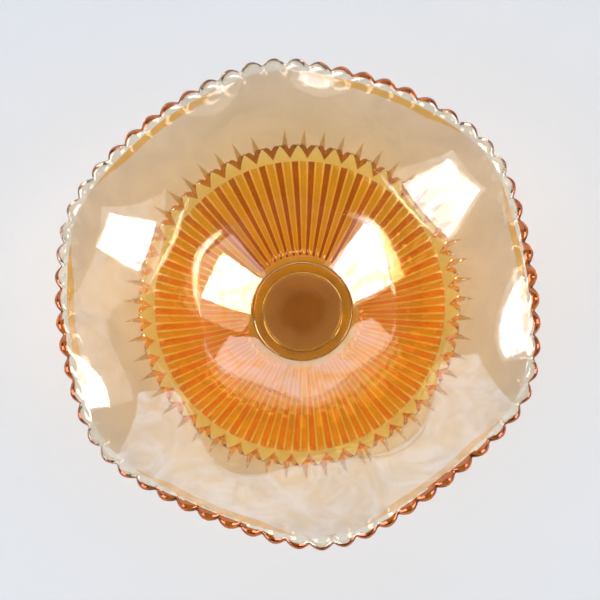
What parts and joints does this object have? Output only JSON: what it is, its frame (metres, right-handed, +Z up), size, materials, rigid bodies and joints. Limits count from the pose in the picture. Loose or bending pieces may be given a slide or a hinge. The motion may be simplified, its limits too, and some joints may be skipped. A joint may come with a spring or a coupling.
{
  "type": "ruffled glass bowl",
  "caption": "Round pressed-glass bowl on a low collar foot, with a flared ruffled wall, a beaded scalloped edge and ribs on the outside.",
  "frame": {"origin": "centre of the foot's underside, on the surface that the bowl stands on", "axes": "+Z up along the bowl's axis; a crest of the ruffled rim lies 38 degrees from +X towards +Y"},
  "size_m": [0.2164, 0.2206, 0.0736],
  "materials": {
    "foot_glass": "polished pressed glass with a dark amber lustre",
    "well_glass": "polished pressed glass with an orange iridescent lustre",
    "pattern_glass": "pressed facets with a deep orange lustre",
    "flare_glass": "polished pressed glass with a pale champagne lustre",
    "rim_glass": "clear beaded edge, rust amber on its outer side"
  },
  "bodies": {
    "root": {"foot_ring": "foot_glass", "base_disc": "foot_glass", "heel_wall": "well_glass", "well_wall": "well_glass", "prism_ribs": "pattern_glass", "rib_points": "pattern_glass", "thorn_ring": "pattern_glass", "flared_wall": "flare_glass", "rim_band": "rim_glass", "rim_beads": "rim_glass"}
  },
  "joints": []
}
